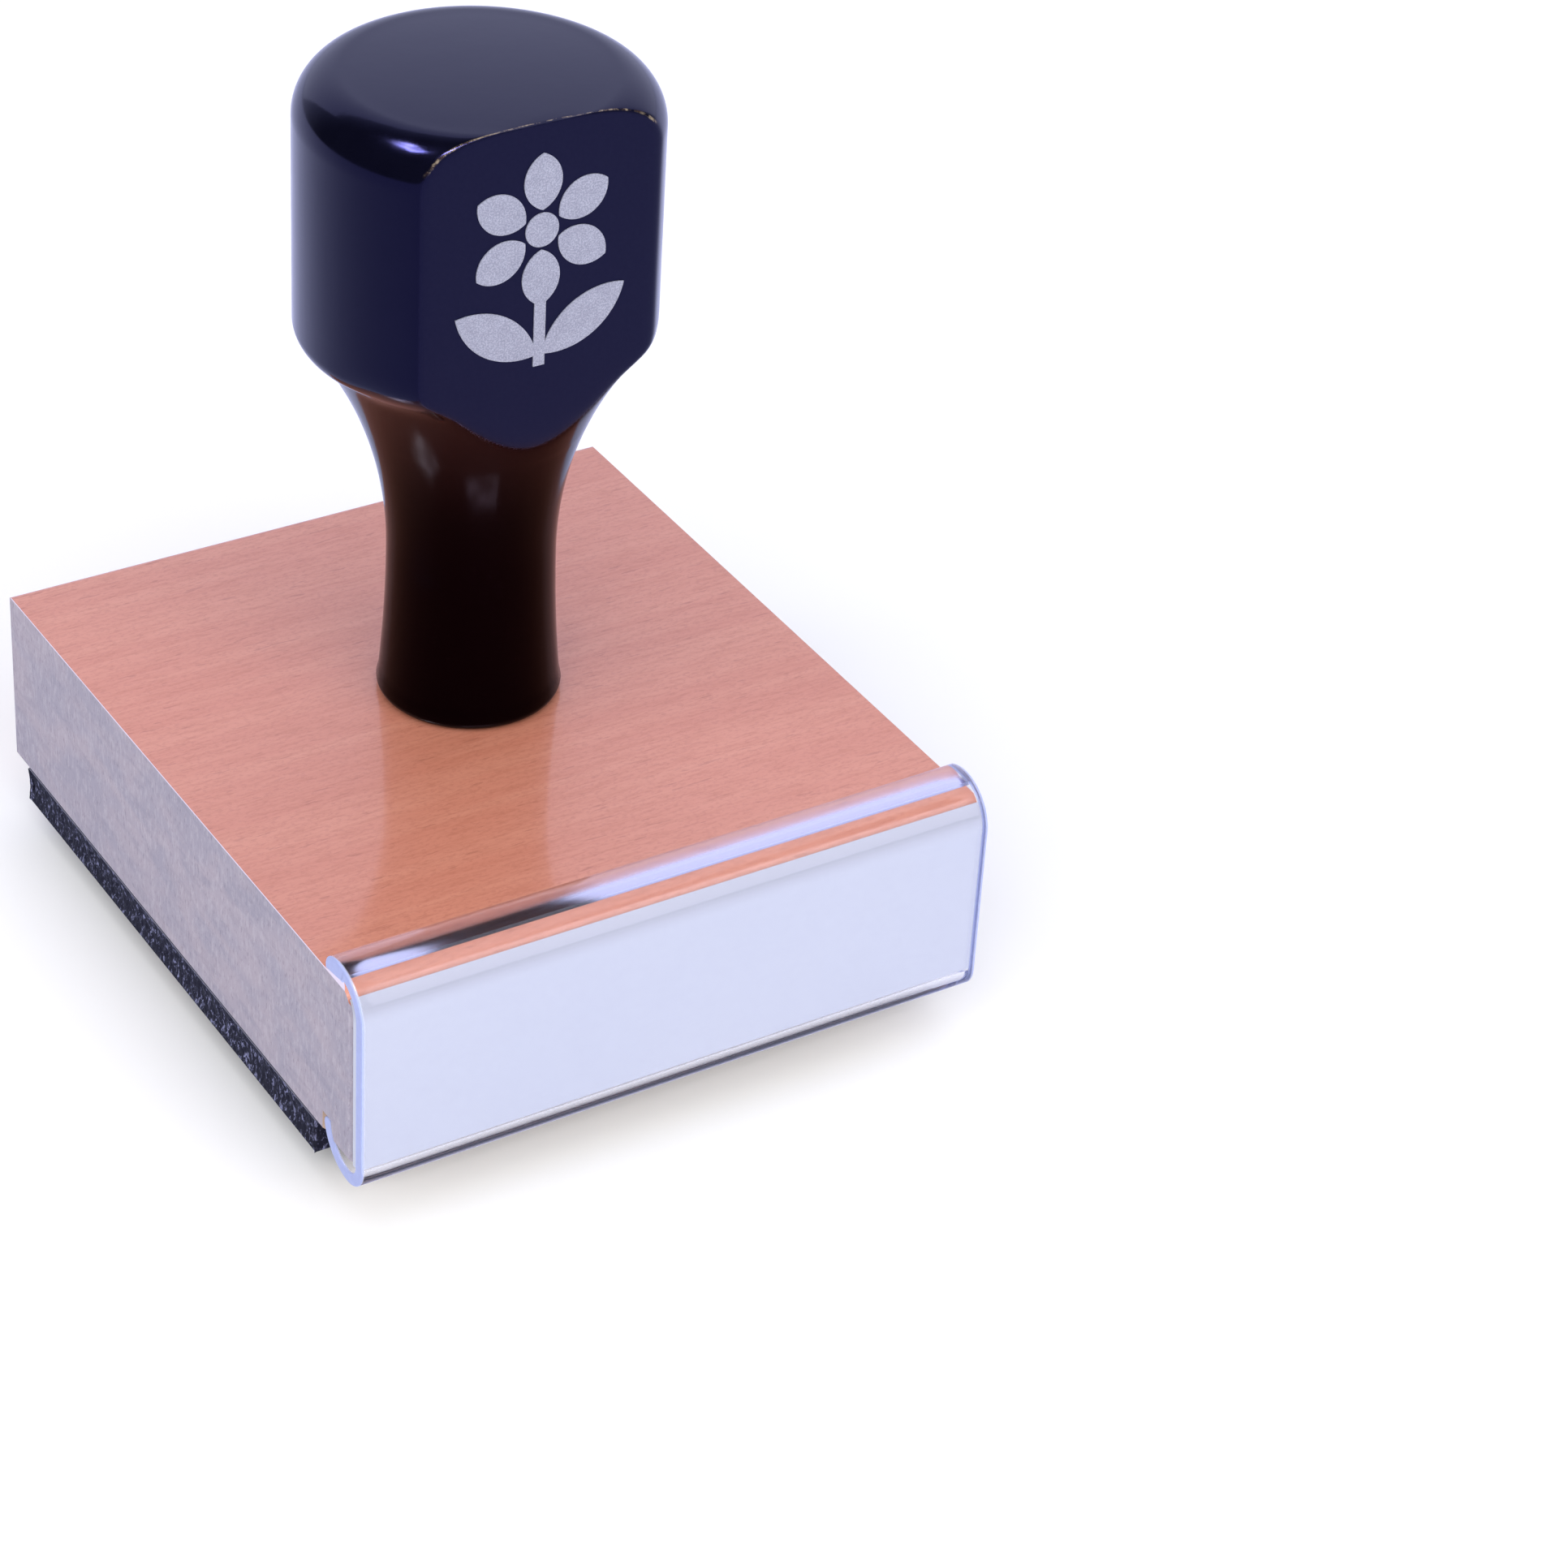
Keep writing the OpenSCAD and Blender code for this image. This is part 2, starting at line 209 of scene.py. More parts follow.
def build_handle():
    """The handle as a turned body with a flat cut on its front. The cut's edge is softly rounded."""
    outline = handle_outline()
    sanded = sanded_outline(outline)
    angles = np.linspace(0, 2 * math.pi, HANDLE_COLUMNS, endpoint=False)
    verts, beyond = [], []
    for (turned, z), (worn, _) in zip(outline, sanded):
        for a in angles:
            from_front = math.degrees(math.acos(max(-1, min(1, -math.sin(a)))))
            share = np.interp(from_front, SANDED_ANGLES, (1, 0))
            # The share eases in and out
            radius = turned + (worn - turned) * share * share * (3 - 2 * share)
            x, y = radius * math.cos(a), radius * math.sin(a)
            past_flat = -y - FLAT_REACH
            soft = (past_flat + math.sqrt(past_flat**2 + 4 * FLAT_EDGE_R**2)) / 2
            verts.append((x, y + soft if turned > BORE_R else y, BLOCK_TOP + z))
            beyond.append(past_flat)
    rows = len(outline)
    faces = grid_faces(rows, HANDLE_COLUMNS)
    # Close the bore's end and the middle of the dome
    for row, z, flip in ((0, BORE_DEPTH, True), (rows - 1, HANDLE_H, False)):
        centre = len(verts)
        verts.append((0, 0, BLOCK_TOP + z))
        beyond.append(-FLAT_REACH)
        for c in range(HANDLE_COLUMNS):
            a = row * HANDLE_COLUMNS + c
            b = row * HANDLE_COLUMNS + (c + 1) % HANDLE_COLUMNS
            faces.append((b, a, centre) if flip else (a, b, centre))
    piece = new_piece("handle_body", verts, faces, "block")
    attribute = piece.data.attributes.new("beyond_flat", "FLOAT", "POINT")
    attribute.data.foreach_set("value", beyond)
    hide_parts("handle")

    # The knob and its flat take the first finish, the neck the second
    neck = []
    for polygon in piece.data.polygons:
        past_flat = sum(beyond[v] for v in polygon.vertices) / len(polygon.vertices)
        neck.append(int(polygon.center.z < BLOCK_TOP + KNOB_Z and past_flat < 0))
    for finish in (
        lacquer("handle_lacquer", 0.5, (0.22, 0.21, 0.72)),
        lacquer("neck_lacquer", 0.075, (0.62, 0.24, 0.50)),
    ):
        piece.data.materials.append(finish.material)
    piece.data.polygons.foreach_set("material_index", neck)


# ---------------------------------------------------------------- clear cover


def cover_section():
    """Closed outline of the cover's section, and how many points each of its two sides has.

    It runs from the lip over the top corner, down the wall and round the hook, then back inside.
    """
    wall_out = cover_low[1]
    top_c = (wall_out + COVER_TOP_R, cover_high[2] - BLOCK_TOP - COVER_TOP_R)
    heel_c = (wall_out + COVER_HEEL_R, cover_low[2] - BLOCK_TOP + COVER_HEEL_R)
    hook_c = (heel_c[0], cover_low[2] - BLOCK_TOP + COVER_HOOK_R)
    lip_reach = COVER_TOP_R - COVER_LIP_R
    lip_c = (
        top_c[0] + lip_reach * math.cos(COVER_LIP_ANGLE),
        top_c[1] + lip_reach * math.sin(COVER_LIP_ANGLE),
    )
    lip_start = math.asin((COVER_LIP_GAP - lip_c[1]) / COVER_LIP_R)
    lip_end = lip_c[0] + COVER_LIP_R * math.cos(lip_start)
    inner_r = COVER_TOP_R - COVER_T
    join = math.acos((lip_end - COVER_LIP_W - top_c[0]) / inner_r)
    hook_last = 2 * math.pi + HOOK_END_ANGLE
    outer = arc(lip_c, COVER_LIP_R, lip_start, COVER_LIP_ANGLE, 16)
    outer += arc(top_c, COVER_TOP_R, COVER_LIP_ANGLE, join, 12)[1:]
    inner = []
    for y in np.linspace(lip_end - 0.04 * MM, lip_end - COVER_LIP_W, len(outer) - 1):
        inner.append((y, COVER_LIP_GAP + BEAD_H * (lip_end - y) / BEAD_REACH))
    for side, centre, radius, first, last, steps in (
        (outer, top_c, COVER_TOP_R, join, math.pi, 40),
        (outer, heel_c, COVER_HEEL_R, math.pi, 1.5 * math.pi, 26),
        (outer, hook_c, COVER_HOOK_R, 1.5 * math.pi, hook_last, 40),
        (inner, top_c, inner_r, join, math.pi, 40),
        (inner, heel_c, COVER_HEEL_R - COVER_T, math.pi, 1.5 * math.pi, 26),
        (inner, hook_c, COVER_HOOK_R - COVER_T, 1.5 * math.pi, hook_last, 40),
    ):
        points = arc(centre, radius, first, last, steps)
        # A point that two stretches share is kept once
        joined = centre is hook_c or (side is outer and centre is top_c)
        side += points[1:] if joined else points
    middle = [(a + b) / 2 for a, b in zip(outer[-1], inner[-1])]
    tip = arc(middle, COVER_T / 2, hook_last, hook_last + math.pi, COVER_TIP_STEPS)[1:-1]
    return np.array(outer + tip + inner[::-1]), len(outer)


def build_cover():
    """The cover as a section swept along X, with its sawn ends slightly rounded."""
    section, count = cover_section()
    along = np.roll(section, -1, axis=0) - np.roll(section, 1, axis=0)
    inwards = np.stack([-along[:, 1], along[:, 0]], axis=1) / np.linalg.norm(along, axis=1)[:, None]
    inner_x = HALF_W - COVER_END_R
    ends = [
        (inner_x + COVER_END_R * math.sin(a), COVER_END_R * (1 - math.cos(a)))
        for a in np.linspace(0, math.pi / 2, 5)
    ]
    plain = [(x, 0.0) for x in np.linspace(-inner_x, inner_x, 25)]
    stations = [(-x, inset) for x, inset in reversed(ends[1:])] + plain + ends[1:]
    verts = [(x, y, BLOCK_TOP + z) for x, inset in stations for y, z in section + inset * inwards]
    size = len(section)
    faces = grid_faces(len(stations), size)
    # Sawn ends: quads between the two sides, and one face for the hook's round tip
    for row in (0, len(stations) - 1):
        base = row * size
        for i in range(count - 1):
            faces.append((base + i, base + i + 1, base + size - 2 - i, base + size - 1 - i))
        faces.append(tuple(base + i for i in range(count - 1, size - count + 1)))
    piece = new_piece("cover_shell", verts, faces, "cover")
    bm = bmesh.new()
    bm.from_mesh(piece.data)
    bmesh.ops.recalc_face_normals(bm, faces=bm.faces)
    bm.to_mesh(piece.data)
    bm.free()
    piece.data.set_sharp_from_angle(angle=math.radians(40))
    # Shades the flats flat and the small roundings round
    modifier = piece.modifiers.new("normals", "WEIGHTED_NORMAL")
    modifier.keep_sharp = True
    # Thin clear plastic passes the light on to the label and the wood
    piece.visible_shadow = False
    piece.visible_diffuse = False
    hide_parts("index_cover")
    return piece


# ---------------------------------------------------------------- foam pad


def build_foam():
    """The foam sheet: rough sides with open cells cut through by the knife, and smooth skins."""
    low, high = Vector(cushion_low), Vector(cushion_high)
    corners = [(low.x, low.y), (high.x, low.y), (high.x, high.y), (low.x, high.y)]
    outline = []
    for i, (ax, ay) in enumerate(corners):
        bx, by = corners[(i + 1) % 4]
        length = math.hypot(bx - ax, by - ay)
        n = round(length / FOAM_STEP)
        out = Vector((by - ay, ax - bx, 0)) / length
        for k in range(n):
            t = k / n
            corner = 0.5 if k == 0 else 1.0
            outline.append((ax + (bx - ax) * t, ay + (by - ay) * t, out, corner))
    verts, faces = [], []
    columns = len(outline)
    height = high.z - low.z
    for row in range(FOAM_ROWS):
        t = row / (FOAM_ROWS - 1)
        z = low.z + height * t
        waist = FOAM_WAIST * math.sin(math.pi * t)
        for x, y, out, corner in outline:
            p = Vector((x, y, z)) / MM
            rough = noise.noise(p * 2.1) * 0.5 + noise.noise(p * 5.3) * 0.35
            cell = max(0.0, noise.noise(p * 1.4 + Vector((7, 3, 1))) - 0.12) * 0.7
            edge = min(1.0, 6 * t, 6 * (1 - t))
            depth = FOAM_INSET + waist + (0.16 * rough + 0.34 * cell) * MM * edge
            depth = max(0.02 * MM, depth)
            verts.append(Vector((x, y, z)) - out * depth * corner)
    faces += grid_faces(FOAM_ROWS, columns)
    # Skins: two rings inwards, then one face
    centre = (low + high) / 2
    for row, flip in ((0, True), (FOAM_ROWS - 1, False)):
        ring = list(range(row * columns, (row + 1) * columns))
        for share in FOAM_SKIN_RINGS:
            first = len(verts)
            for i in range(columns):
                v = verts[row * columns + i]
                x = centre.x + (v.x - centre.x) * share
                y = centre.y + (v.y - centre.y) * share
                verts.append(Vector((x, y, v.z)))
            new = list(range(first, first + columns))
            for i in range(columns):
                j = (i + 1) % columns
                quad = (ring[i], ring[j], new[j], new[i])
                faces.append(tuple(reversed(quad)) if flip else quad)
            ring = new
        faces.append(tuple(reversed(ring)) if flip else tuple(ring))
    piece = new_piece("foam_pad", verts, faces, "block")
    piece.data.set_sharp_from_angle(angle=math.radians(50))
    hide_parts("cushion")
    return piece


# ---------------------------------------------------------------- materials


class Nodes:
    """A material's node tree, with short calls for the nodes that the finishes use."""

    def __init__(self, name):
        self.material = bpy.data.materials.new(name)
        self.material.use_nodes = True
        self.tree = self.material.node_tree
        self.tree.nodes.clear()
        self.out = self.tree.nodes.new("ShaderNodeOutputMaterial")
        self.shader = self.tree.nodes.new("ShaderNodeBsdfPrincipled")
        self.link(self.shader.outputs[0], self.out.inputs["Surface"])
        self.coords = self.tree.nodes.new("ShaderNodeTexCoord")

    def link(self, source, target):
        self.tree.links.new(source, target)

    def feed(self, socket, value):
        """Links value to socket, or sets it if it's plain."""
        if isinstance(value, bpy.types.NodeSocket):
            self.link(value, socket)
        elif socket.type == "RGBA":
            socket.default_value = (*(value if isinstance(value, tuple) else (value,) * 3), 1)
        else:
            socket.default_value = value

    def set(self, **values):
        """Sets or links the shader's own sockets: base_color="..." is Base Color."""
        names = {s.name.lower().replace(" ", "_"): s for s in self.shader.inputs}
        for key, value in values.items():
            self.feed(names[key], value)

    def math(self, operation, a, b=0.0):
        node = self.tree.nodes.new("ShaderNodeMath")
        node.operation = operation
        for socket, value in zip(node.inputs, (a, b)):
            self.feed(socket, value)
        return node.outputs[0]

    def step(self, value, start, end, low=0.0, high=1.0, smooth=True):
        """low before start, high after end, and a smooth ramp between them."""
        node = self.tree.nodes.new("ShaderNodeMapRange")
        node.interpolation_type = "SMOOTHSTEP" if smooth else "LINEAR"
        for socket, number in zip(node.inputs, (value, start, end, low, high)):
            self.feed(socket, number)
        return node.outputs[0]

    def mix(self, share, a, b):
        """a where share is 0, and b where it's 1."""
        node = self.tree.nodes.new("ShaderNodeMix")
        node.data_type = "RGBA"
        self.feed(node.inputs[0], share)
        self.feed(node.inputs[6], a)
        self.feed(node.inputs[7], b)
        return node.outputs[2]

    def split(self, vector):
        node = self.tree.nodes.new("ShaderNodeSeparateXYZ")
        self.link(vector, node.inputs[0])
        return node.outputs

    def stretched(self, stretch):
        """Object coordinates, scaled along the axes: a small number makes a texture long."""
        node = self.tree.nodes.new("ShaderNodeMapping")
        node.inputs["Scale"].default_value = stretch
        self.link(self.coords.outputs["Object"], node.inputs["Vector"])
        return node.outputs[0]

    def noise(self, scale, detail=2.0, rough=0.5, distortion=0.0, stretch=(1, 1, 1)):
        """Noise with scale in cycles a millimetre."""
        node = self.tree.nodes.new("ShaderNodeTexNoise")
        node.inputs["Scale"].default_value = scale / MM
        node.inputs["Detail"].default_value = detail
        node.inputs["Roughness"].default_value = rough
        node.inputs["Distortion"].default_value = distortion
        self.link(self.stretched(stretch), node.inputs["Vector"])
        return node.outputs["Fac"]

    def cells(self, scale, stretch=(1, 1, 1)):
        """Distance from the nearest of scattered points, about scale of them a millimetre."""
        node = self.tree.nodes.new("ShaderNodeTexVoronoi")
        node.inputs["Scale"].default_value = scale / MM
        self.link(self.stretched(stretch), node.inputs["Vector"])
        return node.outputs["Distance"]

    def attribute(self, name):
        node = self.tree.nodes.new("ShaderNodeAttribute")
        node.attribute_name = name
        return node.outputs["Fac"]

    def bump(self, height, distance, strength, before=None):
        """A normal from a height, with distance in millimetres, laid over the one before."""
        node = self.tree.nodes.new("ShaderNodeBump")
        node.inputs["Strength"].default_value = strength
        node.inputs["Distance"].default_value = distance * MM
        self.feed(node.inputs["Height"], height)
        if before is not None:
            self.link(before, node.inputs["Normal"])
        return node.outputs[0]


def give(thing, nodes):
    """Gives a piece or a CAD node this material in every slot."""
    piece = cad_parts[thing] if isinstance(thing, str) else thing
    if not piece.material_slots:
        piece.data.materials.append(nodes.material)
    for material_slot in piece.material_slots:
        material_slot.material = nodes.material


def lacquer(name, gloss, tint):
    """Navy lacquer on the knob, running into brown-black on the neck, and worn to wood on one edge."""
    n = Nodes(name)
    place = n.split(n.coords.outputs["Object"])
    beyond = n.attribute("beyond_flat")
    wobble = n.math("MULTIPLY", n.math("SUBTRACT", n.noise(0.35, 3), 0.5), 0.35 * MM)
    height = n.math("ADD", place[2], wobble)
    border = BLOCK_TOP + KNOB_Z
    above = n.step(height, border - 0.12 * MM, border + 0.12 * MM)
    on_flat = n.step(beyond, -0.1 * MM, 0.15 * MM)
    navy = n.math("MAXIMUM", above, on_flat)
    mottle = n.noise(0.25, 4, 0.6)
    fine = n.noise(3.0, 2)
    knob = n.mix(mottle, (0.0013, 0.0013, 0.0042), (0.0024, 0.0024, 0.0068))
    flat = n.mix(fine, (0.0030, 0.0031, 0.0095), (0.0050, 0.0052, 0.0150))
    knob = n.mix(on_flat, knob, flat)
    neck_share = n.step(place[2], BLOCK_TOP + DARK_NECK_Z, border)
    neck = n.mix(neck_share, (0.0008, 0.0002, 0.0003), (0.010, 0.0019, 0.0019))
    colour = n.mix(navy, neck, knob)
    # Worn line where the flat meets the rounded top
    ragged = n.math("MULTIPLY", n.math("SUBTRACT", n.noise(0.9, 2), 0.42), 0.3 * MM)
    off_edge = n.math("ABSOLUTE", n.math("ADD", beyond, ragged))
    near_edge = n.step(off_edge, 0.06 * MM, 0.2 * MM, 1, 0)
    high_up = n.step(place[2], BLOCK_TOP + WORN_Z, BLOCK_TOP + WORN_Z + 0.8 * MM)
    broken = n.step(n.noise(1.1, 4, 0.7), 0.40, 0.52)
    worn = n.math("MULTIPLY", n.math("MULTIPLY", near_edge, high_up), broken)
    grime = n.step(n.noise(2.1, 3, 0.7), 0.40, 0.62)
    wood = n.mix(grime, (0.035, 0.022, 0.018), (0.30, 0.24, 0.17))
    colour = n.mix(n.math("MULTIPLY", worn, 0.85), colour, wood)
    gloss_spread = n.step(mottle, 0.3, 0.7, 0.10, 0.15)
    roughness = n.mix(on_flat, gloss_spread, n.step(fine, 0.3, 0.7, 0.30, 0.36))
    dents = n.bump(n.noise(0.12, 2), 0.05, 0.5)
    grain = n.bump(n.noise(1.2, 3, 0.6, stretch=(1, 1, 0.12)), 0.010, 0.45, dents)
    n.set(base_color=colour, roughness=roughness, normal=grain, ior=1.5)
    n.set(specular_tint=tint, specular_ior_level=gloss)
    return n


def emblem_ink():
    """Pale silver ink, printed thin, so that the lacquer shows through in specks."""
    n = Nodes("emblem_ink")
    specks = n.step(n.noise(7.0, 3, 0.7), 0.42, 0.6)
    cloud = n.noise(0.8, 2)
    ink = n.mix(cloud, (0.30, 0.31, 0.41), (0.42, 0.43, 0.55))
    colour = n.mix(specks, n.mix(0.35, ink, (0.02, 0.02, 0.05)), ink)
    roughness = n.step(specks, 0, 1, 0.55, 0.45)
    n.set(base_color=colour, roughness=roughness, normal=n.bump(specks, 0.01, 0.4), ior=1.45)
    return n


def stained_wood():
    """Stained and varnished long faces, with raw end grain on the cut ends and raw wood underneath."""
    n = Nodes("block_wood")
    place = n.split(n.coords.outputs["Object"])
    facing = n.split(n.coords.outputs["Normal"])
    # Stained faces: long fibres along X
    streak = n.noise(0.45, 4, 0.6, stretch=(0.045, 1, 1))
    hair = n.noise(2.6, 3, 0.7, stretch=(0.13, 1, 1))
    speck = n.noise(3.4, 2, 0.7, stretch=(0.55, 1, 1))
    pore = n.step(n.noise(2.4, 2, 0.6, stretch=(0.16, 1, 1)), 0.63, 0.72)
    cloud = n.noise(0.06, 3, 0.5, stretch=(0.5, 1, 1))
    stain = n.mix(cloud, (0.527, 0.1809, 0.1105), (0.595, 0.2283, 0.153))
    stain = n.mix(n.step(streak, 0.35, 0.7, 0, 0.45), stain, (0.6545, 0.2863, 0.1913))
    stain = n.mix(n.step(hair, 0.42, 0.70, 0, 0.35), stain, (0.425, 0.1328, 0.0723))
    stain = n.mix(n.step(speck, 0.45, 0.70, 0, 0.35), stain, (0.3995, 0.1245, 0.0765))
    stain = n.mix(n.math("MULTIPLY", pore, 0.35), stain, (0.2805, 0.0747, 0.0425))
    # Cut ends: short fibres that run down the face, and soft grey clouds of growth
    dash = n.noise(2.5, 3, 0.75, stretch=(1, 1.0, 0.3))
    ring = n.noise(0.17, 3, 0.6, distortion=0.8, stretch=(1, 0.6, 1.5))
    end = n.mix(n.step(ring, 0.35, 0.65), (0.318, 0.296, 0.372), (0.372, 0.328, 0.392))
    growth = n.noise(0.5, 2, 0.5, distortion=1.2, stretch=(1, 0.3, 1.6))
    end = n.mix(n.step(growth, 0.55, 0.62, 0, 0.22), end, (0.235, 0.222, 0.290))
    end = n.mix(n.step(dash, 0.46, 0.66, 0, 0.5), end, (0.47, 0.43, 0.50))
    pit = n.step(n.noise(3.2, 2, 0.7, stretch=(1, 1.3, 0.4)), 0.56, 0.7, 0, 0.5)
    end = n.mix(pit, end, (0.20, 0.17, 0.22))
    cut = n.step(n.math("ABSOLUTE", facing[0]), 0.3, 0.6)
    # Painted highlight: pale colour where a cut end is rounded over, picked by the surface's facing
    broken = n.math("MULTIPLY", cut, n.step(n.math("ABSOLUTE", facing[2]), 0.3, 0.6))
    end = n.mix(n.math("MULTIPLY", broken, 0.8), end, (0.70, 0.62, 0.78))
    under = n.step(facing[2], -0.5, -0.3, 1, 0)
    # The groove is cut after the stain
    groove_top = block_low[2] + GROOVE_DEPTH
    groove_front = block_low[1] + GROOVE_FRONT
    groove_back = block_low[1] + GROOVE_BACK
    groove = n.step(place[2], groove_top - 0.5 * MM, groove_top, 1, 0)
    groove = n.math("MULTIPLY", groove, n.step(place[1], groove_front - 0.2 * MM, groove_front))
    groove = n.math("MULTIPLY", groove, n.step(place[1], groove_back - 1.0 * MM, groove_back, 1, 0))
    under = n.math("MAXIMUM", under, groove)
    raw = n.math("MAXIMUM", cut, under)
    under_wood = n.mix(streak, (0.42, 0.30, 0.24), (0.55, 0.42, 0.34))
    colour = n.mix(cut, n.mix(under, stain, under_wood), end)
    varnish = n.math("SUBTRACT", 1.0, raw)
    fibres = n.bump(n.noise(1.6, 3, 0.6, stretch=(0.09, 1, 1)), 0.012, 0.35)
    rough_cut = n.bump(dash, 0.06, 0.6)
    choose = n.tree.nodes.new("ShaderNodeMix")
    choose.data_type = "VECTOR"
    n.feed(choose.inputs[0], cut)
    n.feed(choose.inputs[4], fibres)
    n.feed(choose.inputs[5], rough_cut)
    roughness = n.mix(raw, n.step(hair, 0.3, 0.7, 0.42, 0.5), n.step(dash, 0.3, 0.7, 0.8, 0.9))
    n.set(base_color=colour, roughness=roughness, normal=choose.outputs[1], ior=1.45)
    n.set(coat_weight=varnish, coat_roughness=0.085, coat_ior=1.5)
    return n


def clear_plastic():
    """Clear extruded plastic with faint draw lines, a duller top, and sawn ends that hold the light."""
    n = Nodes("clear_cover")
    place = n.split(n.coords.outputs["Object"])
    lines = n.noise(2.2, 2, 0.5, stretch=(0.01, 1, 1))
    sawn = n.step(n.math("ABSOLUTE", place[0]), HALF_W - 0.3 * MM, HALF_W - 0.12 * MM)
    milky = n.mix(n.noise(3.0, 3, 0.6), (0.39, 0.45, 0.80), (0.50, 0.57, 0.95))
    colour = n.mix(sawn, (0.985, 0.985, 1.0), milky)
    on_top = n.step(place[2], BLOCK_TOP - 2 * MM, BLOCK_TOP)
    drawn = n.mix(on_top, n.step(lines, 0.3, 0.7, 0.03, 0.06), 0.11)
    n.set(base_color=colour, roughness=n.mix(sawn, drawn, 0.3), normal=n.bump(lines, 0.004, 0.4))
    n.set(transmission_weight=n.step(sawn, 0, 1, 1.0, 0.25, smooth=False), ior=1.45)
    absorb = n.tree.nodes.new("ShaderNodeVolumeAbsorption")
    absorb.inputs["Color"].default_value = (0.50, 0.55, 0.92, 1)
    absorb.inputs["Density"].default_value = 110
    n.link(absorb.outputs[0], n.out.inputs["Volume"])
    return n


def label_card():
    """White index card with a cold tone and faint fibres."""
    n = Nodes("label_card")
    place = n.split(n.coords.outputs["Object"])
    fibres = n.noise(2.4, 4, 0.65, stretch=(0.5, 1, 1))
    cloud = n.noise(0.05, 2)
    paper = n.mix(cloud, (0.497, 0.524, 0.634), (0.533, 0.556, 0.651))
    paper = n.mix(n.step(fibres, 0.35, 0.7, 0, 0.25), paper, (0.469, 0.486, 0.598))
    # Painted shade: the paper is darker on the bend at the top
    painted_shade_on_bend = n.step(place[2], BLOCK_TOP - 2.3 * MM, BLOCK_TOP - 0.9 * MM)
    paper = n.mix(painted_shade_on_bend, paper, (0.415, 0.425, 0.510))
    n.set(base_color=paper, roughness=0.62, normal=n.bump(fibres, 0.01, 0.3), ior=1.45)
    return n


def foam():
    """Dark grey-blue foam rubber, with pale flecks painted on as the highlights of cut cells."""
    n = Nodes("cushion_foam")
    cells = n.cells(2.0, (1, 1, 0.7))
    painted_glint = n.step(n.noise(2.6, 3, 0.75, distortion=0.6, stretch=(1, 1, 0.55)), 0.53, 0.68)
    tone = n.noise(0.9, 3)
    colour = n.mix(tone, (0.002, 0.002, 0.007), (0.010, 0.010, 0.026))
    # Painted highlight: pale flecks where the cut cells would catch the light
    colour = n.mix(n.math("MULTIPLY", painted_glint, 0.85), colour, (0.26, 0.27, 0.47))
    bumps = n.bump(n.noise(3.6, 3, 0.7), 0.08, 0.7, n.bump(cells, 0.16, 0.8))
    n.set(base_color=colour, roughness=n.step(tone, 0.3, 0.7, 0.75, 0.95), normal=bumps, ior=1.4)
    return n


def steel():
    """Turned zinc-plated steel."""
    n = Nodes("screw_steel")
    turned = n.noise(6.0, 3, 0.6, stretch=(1, 1, 6))
    colour = n.mix(turned, (0.50, 0.51, 0.53), (0.66, 0.67, 0.69))
    roughness = n.step(turned, 0.3, 0.7, 0.26, 0.4)
    n.set(base_color=colour, metallic=1.0, roughness=roughness, normal=n.bump(turned, 0.01, 0.4))
    return n


def film():
    """Adhesive film: grey, with small trapped bubbles."""
    n = Nodes("adhesive_film")
    around = n.step(n.cells(1.6), 0.1, 0.25)
    colour = n.mix(around, (0.16, 0.16, 0.20), (0.10, 0.10, 0.13))
    roughness = n.step(around, 0, 1, 0.25, 0.4)
    n.set(base_color=colour, roughness=roughness, normal=n.bump(around, 0.01, 0.3), ior=1.47)
    return n


def rubber():
    """Rubber: smooth on the printing face, ribbed and dusty where it is lower."""
    n = Nodes("die_rubber")
    place = n.split(n.coords.outputs["Object"])
    tone = n.noise(0.2, 3)
    cut_low = n.step(place[2], 0.1 * MM, 0.3 * MM)
    dust = n.noise(5.0, 3, 0.7)
    face = n.mix(tone, (0.42, 0.085, 0.060), (0.50, 0.115, 0.085))
    dusty = n.math("MULTIPLY", cut_low, n.step(dust, 0.3, 0.7, 0.3, 0.75))
    colour = n.mix(dusty, face, (0.58, 0.24, 0.19))
    ribs = n.math("MULTIPLY", n.noise(4.0, 1, 0.5, stretch=(0.06, 1, 1)), cut_low)
    roughness = n.step(cut_low, 0, 1, 0.48, 0.8)
    n.set(base_color=colour, roughness=roughness, normal=n.bump(ribs, 0.05, 0.6), ior=1.5)
    return n


build_handle()
cover_shell = build_cover()
foam_pad = build_foam()

for thing, finish in (
    ("emblem", emblem_ink()),
    ("mount_block", stained_wood()),
    (cover_shell, clear_plastic()),
    ("index_label", label_card()),
    (foam_pad, foam()),
    ("handle_screw", steel()),
    ("rubber_die", rubber()),
):
    give(thing, finish)
film_finish = film()
give("cushion_film", film_finish)
give("die_film", film_finish)

# ---------------------------------------------------------------- studio


def rectangle(name, half_x, half_y, z):
    """A flat rectangle that faces +Z."""
    mesh = bpy.data.meshes.new(name)
    corners = ((-1, -1), (1, -1), (1, 1), (-1, 1))
    mesh.from_pydata([(x * half_x, y * half_y, z) for x, y in corners], [], [(0, 1, 2, 3)])
    return mesh


